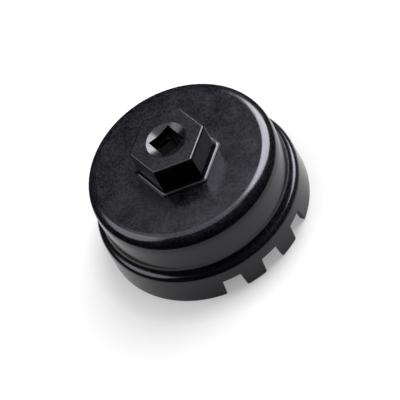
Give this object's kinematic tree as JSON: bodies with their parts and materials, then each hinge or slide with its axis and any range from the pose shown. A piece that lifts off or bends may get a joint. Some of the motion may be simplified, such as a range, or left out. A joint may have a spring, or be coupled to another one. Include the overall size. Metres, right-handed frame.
{
  "type": "oil filter wrench",
  "caption": "Cap-type oil filter wrench: a black fluted cup with a notched skirt, turned by a hex hub with a square drive.",
  "frame": {"origin": "on the tool's axis in the rim plane, which is the bottom centre of the tool standing on its open rim", "axes": "+Z along the tool's axis towards the drive square; +X through the middle of one group of rim notches and one corner of the hex; +Y completes the right-handed frame"},
  "size_m": [0.0788, 0.0794, 0.0452],
  "materials": {
    "black_anodised_cup": "satin black anodised, fine blasted grain",
    "black_coated_hub": "satin black coated steel",
    "phosphated_spring_steel": "dark phosphated spring steel"
  },
  "bodies": {
    "root": {"cup_shell": "black_anodised_cup", "hex_drive_hub": "black_coated_hub", "hub_retaining_ring": "phosphated_spring_steel"}
  },
  "joints": []
}
